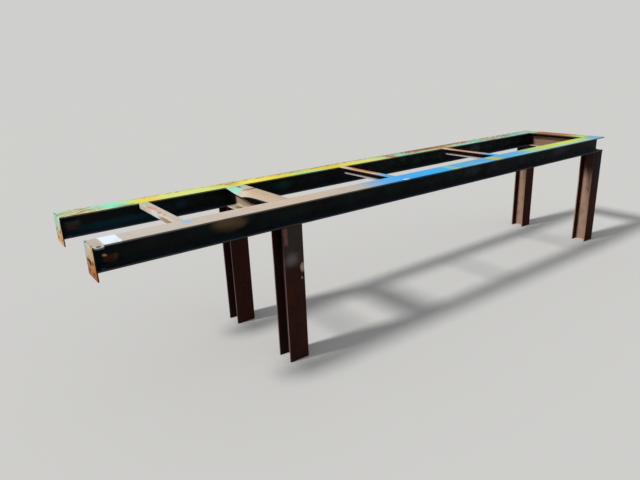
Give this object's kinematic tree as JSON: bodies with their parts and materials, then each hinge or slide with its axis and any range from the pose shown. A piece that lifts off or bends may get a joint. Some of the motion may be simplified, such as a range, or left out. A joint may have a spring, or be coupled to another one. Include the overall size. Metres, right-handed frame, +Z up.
{
  "type": "welded steel girder trestle",
  "caption": "Long low work trestle: two painted wide-flange girders joined by cross bars, bolting plates at one end, standing on rusty wide-flange legs.",
  "frame": {"origin": "centre of the bounding box at floor level", "axes": "+X along the girders towards the end without bolting plates, +Y from the front girder to the back girder, +Z up"},
  "size_m": [4.06, 0.769, 0.884],
  "materials": {
    "front_paint": "thin oversprayed paint in beige, sky blue and lime over dark mill scale, matt",
    "back_paint": "thin oversprayed paint in yellow, mint and pale green with rust, matt",
    "plate_paint": "pale blue and green overspray above orange rust, matt",
    "rust": "dark red-brown weathered rust, matt"
  },
  "bodies": {
    "root": {"front_girder": "front_paint", "back_girder": "back_paint", "front_end_plate": "plate_paint", "back_end_plate": "plate_paint", "hollow_cross_bar": "front_paint", "near_cross_beam": "front_paint", "far_cross_beam": "rust", "angle_cross_bar_1": "rust", "angle_cross_bar_2": "rust", "front_left_leg": "rust", "back_left_leg": "rust", "front_right_leg": "rust", "back_right_leg": "rust", "eye_lug": "front_paint"}
  },
  "joints": []
}
